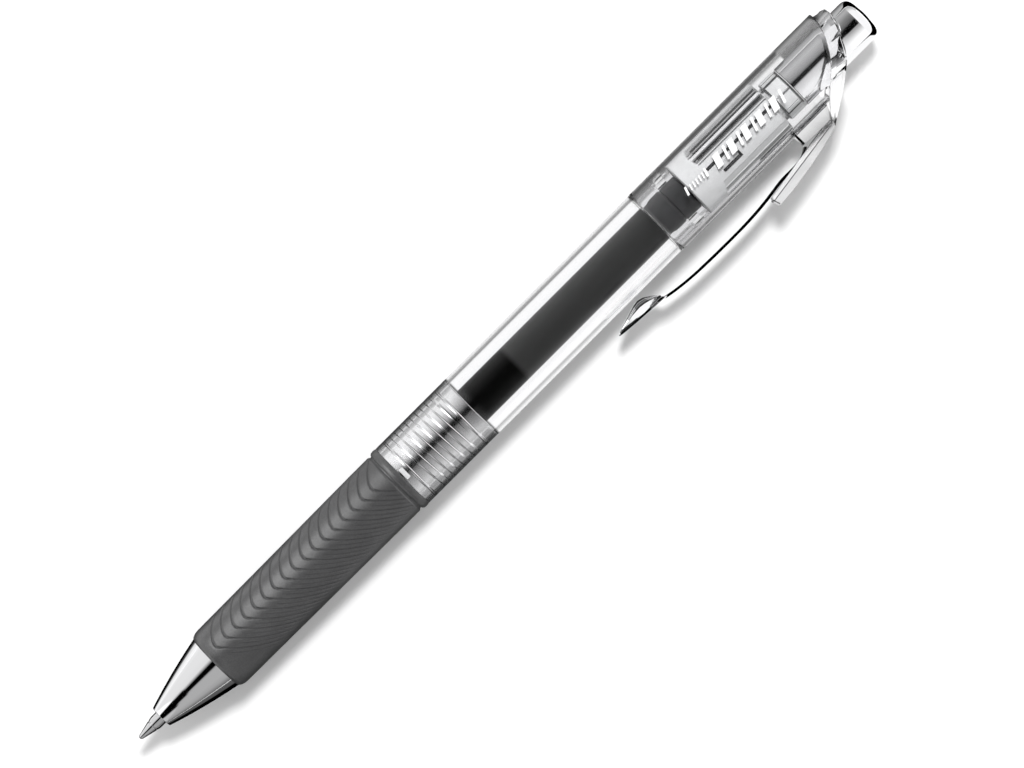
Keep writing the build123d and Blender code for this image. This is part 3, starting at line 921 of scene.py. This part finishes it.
def make_clip():
    """Sprung strip, the teardrop rim at its foot and the spoon on the rim."""
    strip = refined("clip_strip_plated", "clip_strip")
    cut_square(strip, 97.51, clear_inner=True)
    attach(strip, "clip")
    rim_x = [97.5 - 8.4 * i / 42 for i in range(43)]
    tables = (rim_bottom, rim_top, rim_half)
    rows = [(x, plate_section(*(between(table, x) for table in tables))) for x in rim_x]
    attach(clip_loft("clip_foot_rim", rows), "clip")
    spoon_x = [97.3 - 7.85 * i / 60 for i in range(61)]
    rows = []
    for x in spoon_x:
        foot = between(rim_top, x) - 0.05
        half = between(spoon_half, x)
        ridge = max(between(spoon_ridge, x), foot + 0.04)
        top = max(between(spoon_top, x), ridge + 0.03)
        rows.append((x, spoon_section(top, ridge, foot, half, min(1.2, half * 0.6))))
    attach(clip_loft("clip_foot_spoon", rows), "clip")


def curved_bars(name, bars, inner_r, outer_r, look_name, lean=0.0):
    """Thin patches (middle x, width, lowest y, highest y) lying on a cylinder."""
    points, faces = [], []
    steps = 8
    ring = 2 * (steps + 1)
    for middle, width, low, high in bars:
        base = len(points)
        for r in (inner_r, outer_r):
            for i in range(steps + 1):
                y = low + (high - low) * i / steps
                z = math.sqrt(max(0.01, r * r - y * y))
                for side in (-0.5, 0.5):
                    points.append((middle + side * width + lean * y, y, z))
        for i in range(steps):
            a = base + 2 * i
            faces += [(a, a + 1, a + 3, a + 2), (a + ring, a + ring + 2, a + ring + 3, a + ring + 1)]
            faces += [(a, a + 2, a + ring + 2, a + ring), (a + 1, a + ring + 1, a + ring + 3, a + 3)]
        for a in (base, base + 2 * steps):
            faces.append((a, a + 1, a + ring + 1, a + ring))
    return mesh_object(name, points, faces, look_name, 30)


# ---- refill ----
def make_refill():
    outline = [(tube_front_x, 2.45), (plug_x, 2.45), (plug_x, tube_r), (tube_front_x, tube_r)]
    tube = lathe("ink_tube_filled", soften(outline, 0.08), "tube_plastic", 128)
    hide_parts("ink_tube")
    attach(tube, "refill")
    head = [(plug_x - 3.7, 0.0), (plug_x - 3.7, 2.44), (plug_x - 0.1, 2.44), (plug_x, 1.9)]
    head += [(plug_x + 0.12, 2.2), (plug_x + 0.4, 2.52), (plug_x + 0.8, 2.75), (plug_x + 1.3, 2.9)]
    head += [(plug_x + 1.9, plug_r), (107.4, plug_r), (107.5, plug_r - 0.16)]
    head += [(107.72, plug_r - 0.16), (107.82, plug_r), (plug_end_x - 0.15, plug_r)]
    head += [(plug_end_x, plug_r - 0.15), (plug_end_x, 1.05), (108.4, 1.05), (108.4, 0.0)]
    plug = lathe("tail_plug_moulded", head, "grey_plastic", 128, 35)
    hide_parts("refill_plug")
    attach(plug, "refill")


def make_spring():
    """Round wire spring between the nose bush and the refill's flange."""
    wire_r, mean_r, turns = 0.25, 2.15, 7
    x0, x1 = 13.17, 22.23
    around_wire = 12
    steps = turns * 48
    points = []
    for i in range(steps + 1):
        t = i / steps
        angle = 2 * math.pi * turns * t
        centre = Vector(round_point(x0 + (x1 - x0) * t, mean_r, angle))
        outward = Vector((0, math.cos(angle), math.sin(angle)))
        for a in turns_of(around_wire):
            points.append(centre + outward * wire_r * math.cos(a) + Vector((wire_r * math.sin(a), 0, 0)))
    faces = ring_faces(steps + 1, around_wire) + end_faces(steps + 1, around_wire)
    spring = mesh_object("return_spring_wire", points, faces, "spring_steel", 60)
    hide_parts("return_spring")
    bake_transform(spring)


# ---- button ----
def make_button():
    corner = 1.75
    shoulder = button_end_x - corner
    flat_r = 2.0
    steps = 14
    power = 0.82
    round_end = []
    for i in range(1, steps + 1):
        a = math.pi / 2 * i / steps
        rise = (button_r - flat_r) * math.cos(a) ** power
        round_end.append((shoulder + corner * math.sin(a) ** power * 0.87, flat_r + rise))
    tail_x = round_end[-1][0]
    dome = [(tail_x + (button_end_x - tail_x) * (1 - (r / flat_r) ** 2), r) for r in (1.5, 1.0, 0.5)]
    outline = [(skirt_x + 0.02, button_r - 0.28), (skirt_x, button_r - 0.2), (skirt_x, button_r - 0.06)]
    outline += [(skirt_x + 0.06, button_r), (skirt_x + 0.3, button_r)]
    outline += [(shoulder - 0.4, button_r), (shoulder, button_r)]
    outline += round_end + dome + [(button_end_x, 0.0)]
    outline = [(144.5, 0.0), (144.3, 3.2), (skirt_x + 0.3, 3.22)] + outline
    button = lathe("button_plated", outline, "chrome", smooth_angle=40)
    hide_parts("push_button")
    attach(button, "knock")


# ---- stage ----
def make_stage():
    half = 1200
    mesh = new_mesh("floor", rectangle(-half, half, half, floor_z), [(0, 1, 2, 3)])
    floor = new_object("floor", mesh)
    material, tree = shader("floor_paper")
    tone = ramp(tree, noise_value(tree, 8, 2.0), [(0.3, 0.86), (0.7, 0.88)])
    finish_material(material, principled(tree, Base_Color=tone, Roughness=0.9, Specular_IOR_Level=0.1))
    mesh.materials.append(material)


def rectangle(start, end, half, z):
    """Corners of a level rectangle from start to end along X and half wide to each side."""
    return [(start, -half, z), (end, -half, z), (end, half, z), (start, half, z)]


def across(tree, zones, edges, blur):
    """Blends one value per zone along X; edges are the borders between the zones."""
    along = coordinate(tree, "X")
    value = zones[0]
    for zone, edge in zip(zones[1:], edges):
        start, end = (edge - blur) * MM, (edge + blur) * MM
        weight = share_of(tree, along, start, end, interpolation_type="SMOOTHSTEP")
        mixed = add(tree, "Mix", {"Factor": weight, "A": value, "B": zone}, data_type="FLOAT")
        value = mixed.outputs["Result"]
    return value


def glow_curve(tree, share, reach, stops):
    """Brightness from (position, level) stops between -reach and reach, as a float curve."""
    headroom = 1.05
    top = max(0.1, *(level for _, level in stops)) * headroom
    node = add(tree, "FloatCurve", {"Value": share})
    curve = node.mapping.curves[0]
    spots = [((position + reach) / (2 * reach), level / top) for position, level in stops]
    curve.points[0].location = spots[0]
    curve.points[1].location = spots[-1]
    for spot in spots[1:-1]:
        curve.points.new(*spot)
    for point in curve.points:
        point.handle_type = "VECTOR"
    node.mapping.update()
    return math_node(tree, "MULTIPLY", node.outputs["Value"], top)


def studio_piece(name, points, faces, level_of):
    """Light panel that only mirror-like and clear surfaces see."""
    mesh = new_mesh(name, points, faces)
    panel = new_object(name, mesh)
    material, tree = shader(name)
    light = add(tree, "Emission", {"Color": (1, 1, 1, 1), "Strength": level_of(tree)})
    finish_material(material, light.outputs["Emission"])
    material.cycles.emission_sampling = "NONE"
    mesh.materials.append(material)
    panel.visible_camera = False
    panel.visible_diffuse = False
    panel.visible_shadow = False


# brightness of the light tent by the angle from overhead, towards +Y, for each stretch of the pen
dim_side = [(-180, 0.1), (-95, 0.14), (-83, 0.25), (-70, 0.4), (-50, 0.47)]
lit_side = [(50, 0.9), (75, 0.9), (100, 1.05), (180, 0.8)]
nose_glow = dim_side + [(-16, 0.47), (-11, 0.42), (-6, 0.0), (10, 0.0), (18, 0.5), (25, 0.85)] + lit_side
cone_glow = dim_side + [(-24, 0.47), (-18, 0.42), (-12, 0.0), (16, 0.0), (22, 0.5), (29, 0.85)] + lit_side
tip_glow = [
    (-180, 0.1), (-95, 0.14), (-83, 0.3), (-70, 0.55), (-34, 0.6), (-24, 0.0), (20, 0.0), (26, 1.2),
    (60, 1.2), (90, 0.9), (180, 0.6),
]
grip_glow = [
    (-180, 0.0), (-60, 0.05), (0, 0.1), (16, 0.5), (28, 3.3), (54, 4.0), (68, 1.2), (84, 0.1), (180, 0.0),
]
sleeve_glow = [
    (-180, 0.1), (-106, 0.3), (-90, 0.5), (-75, 0.75), (-50, 0.5), (-24, 0.3), (-9, 0.16), (-5, 0.01),
    (9, 0.01), (15, 0.2), (26, 0.45), (50, 0.85), (75, 1.1), (90, 1.0), (110, 0.7), (180, 0.3),
]
clear_glow = [
    (-180, 0.5), (-90, 0.5), (-70, 0.3), (-45, 0.06), (-15, 0.0), (10, 0.0), (30, 0.08), (50, 0.25),
    (75, 0.5), (100, 0.6), (180, 0.6),
]
button_glow = [
    (-180, 1.2), (-95, 1.25), (-55, 1.2), (-45, 1.0), (-33, 0.72), (-20, 0.45), (-14, 0.4), (-10, 0.0),
    (14, 0.0), (20, 0.12), (30, 0.17), (45, 0.24), (60, 0.38), (75, 0.5), (92, 0.35), (105, 0.1), (180, 0.2),
]
hooded_glow = [
    (-180, 1.2), (-55, 1.1), (-33, 0.85), (-14, 0.7), (-6, 0.02), (8, 0.02), (16, 0.3), (30, 0.42),
    (60, 0.62), (75, 0.5), (92, 0.35), (180, 0.2),
]
end_glow = [(-180, 1.15), (55, 1.1), (75, 0.7), (100, 0.35), (180, 0.2)]


def make_tent():
    """Half tube round the pen, standing on the floor."""
    tent_r = 120.0
    steps = 48
    low = math.radians(92.6)
    points = []
    for x in (-300.0, 400.0):
        for i in range(steps + 1):
            turn = -low + 2 * low * i / steps
            points.append((x, tent_r * math.sin(turn), tent_r * math.cos(turn)))
    faces = [(i, i + 1, steps + 2 + i, steps + 1 + i) for i in range(steps)]

    def level(tree):
        turn = math_node(tree, "ARCTAN2", coordinate(tree, "Y"), coordinate(tree, "Z"))
        share = share_of(tree, turn, -math.pi, math.pi)
        glows = (tip_glow, cone_glow, nose_glow, grip_glow, sleeve_glow, clear_glow, hooded_glow)
        zones = [glow_curve(tree, share, 180, stops) for stops in glows + (button_glow, end_glow)]
        return across(tree, zones, (-78.0, -67.5, 5.0, 43.0, 66.8, 139.0, 151.4, 160.0), 1.0)

    studio_piece("light_tent", points, faces, level)


# brightness of the mat under the pen by the distance from the axis, towards +Y, in millimetres
nose_mat = [
    (-80, 0.12), (-30, 0.11), (-17, 0.1), (-14, 0.0), (9, 0.0), (12.5, 0.1), (16, 0.85), (30, 1.1), (80, 1.1),
]
sleeve_mat = [
    (-80, 0.4), (-26, 0.35), (-20, 0.3), (-16, 0.42), (-14, 0.3), (-12.5, 0.04), (-8, 0.05), (-5.6, 0.1),
    (5.6, 0.0), (7.5, 0.04), (9, 0.2), (13, 0.22), (14.5, 0.9), (17, 0.9), (19, 0.35), (23, 0.45), (80, 0.8),
]
barrel_mat = [
    (-80, 1.25), (-22, 1.2), (-16, 0.8), (-12.3, 0.5), (-10, 0.5), (-8.4, 0.9), (-7.5, 1.04), (7.2, 1.04),
    (8.0, 0.8), (9.2, 0.3), (12, 0.22), (15, 0.8), (80, 0.9),
]
housing_mat = [
    (-80, 1.2), (-20, 0.8), (-12, 0.6), (-10.5, 0.5), (-9.2, 0.3), (-8.6, 0.0), (-7.2, 0.0), (-6.5, 0.45),
    (-5.6, 0.8), (-3, 1.02), (3, 1.02), (5, 0.9), (6.3, 0.12), (9, 0.08), (13, 0.15), (20, 0.6), (80, 0.8),
]
button_mat = [
    (-80, 1.15), (-4, 1.15), (-3.4, 0.9), (3.4, 0.9), (4, 0.1), (6.5, 0.1), (9, 0.25), (16, 0.5), (80, 0.8),
]


def make_mat():
    """Flat panel just above the floor."""
    half = 80
    no_mat = [(-half, 0.0), (half, 0.0)]

    def level(tree):
        share = share_of(tree, coordinate(tree, "Y"), -half * MM, half * MM)
        mats = (nose_mat, sleeve_mat, barrel_mat, housing_mat, button_mat, no_mat)
        zones = [glow_curve(tree, share, half, stops) for stops in mats]
        return across(tree, zones, (35.0, 67.2, 104.2, 134.0, 147.5), 0.2)

    studio_piece("light_mat", rectangle(-60, 200, half, floor_z + 0.05), [(0, 1, 2, 3)], level)


def make_world():
    """Soft surround that is brightest near the horizon."""
    world = bpy.data.worlds.new("studio")
    world.use_nodes = True
    tree = world.node_tree
    tree.nodes.clear()
    direction = add(tree, "TexCoord").outputs["Generated"]
    height = add(tree, "SeparateXYZ", {"Vector": direction}).outputs["Z"]
    level = share_of(tree, height, 0.0, 1.0, (1.55, 0.28))
    light = add(tree, "Background", {"Color": (1, 1, 1, 1), "Strength": level})
    add(tree, "OutputWorld", {"Surface": light.outputs["Background"]})
    bpy.context.scene.world = world


def make_camera():
    """Long lens straight above, turned so that the pen runs from lower left to upper right."""
    data = bpy.data.cameras.new("camera")
    data.sensor_width = 36.0
    data.lens = 200.0
    camera = new_object("camera", data)
    view_width = 0.14629
    height = view_width * data.lens / data.sensor_width
    diagonal = math.sqrt(0.5)
    right = Vector((diagonal, -diagonal, 0))
    up = Vector((diagonal, diagonal, 0))
    back = Vector((0, 0, 1))
    centre = Vector((0.0734, -0.0018, 0))
    turn = Matrix((right, up, back)).transposed().to_4x4()
    camera.matrix_world = Matrix.Translation(centre + back * height) @ turn
    bpy.context.scene.camera = camera


def make_lights():
    """One soft key light from the +X +Y side; mirror-like and clear surfaces don't see it."""
    centre = Vector((0.0734, 0, 0))
    elevation = math.radians(65)
    level = math.sqrt(0.5) * math.cos(elevation)
    toward = Vector((level, level, math.sin(elevation)))
    data = bpy.data.lights.new("key", "AREA")
    data.energy = 7.0
    data.size = 0.2
    key = new_object("key", data)
    key.location = centre + toward * 0.9
    key.rotation_euler = (-toward).to_track_quat("-Z", "Y").to_euler()
    key.visible_glossy = False
    key.visible_transmission = False


make_camera()
make_stage()
make_world()
make_lights()
make_tent()
make_mat()
make_nose()
make_refill_tip()
make_grip()
make_spiral_sleeve()
make_barrel()
make_housing()
make_refill()
make_spring()
make_button()
make_hood()
make_guide()
make_collar()
make_mark()
make_clip()
make_arm_dark_line()
for piece, node, body in (
    ("rotor_moulded", "cam_rotor", "rotor"),
    ("plunger_moulded", "plunger", "knock"),
    ("clip_root_plated", "clip_root", "barrel"),
):
    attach(refined(piece, node), body)
bpy.context.scene.view_settings.view_transform = "Standard"
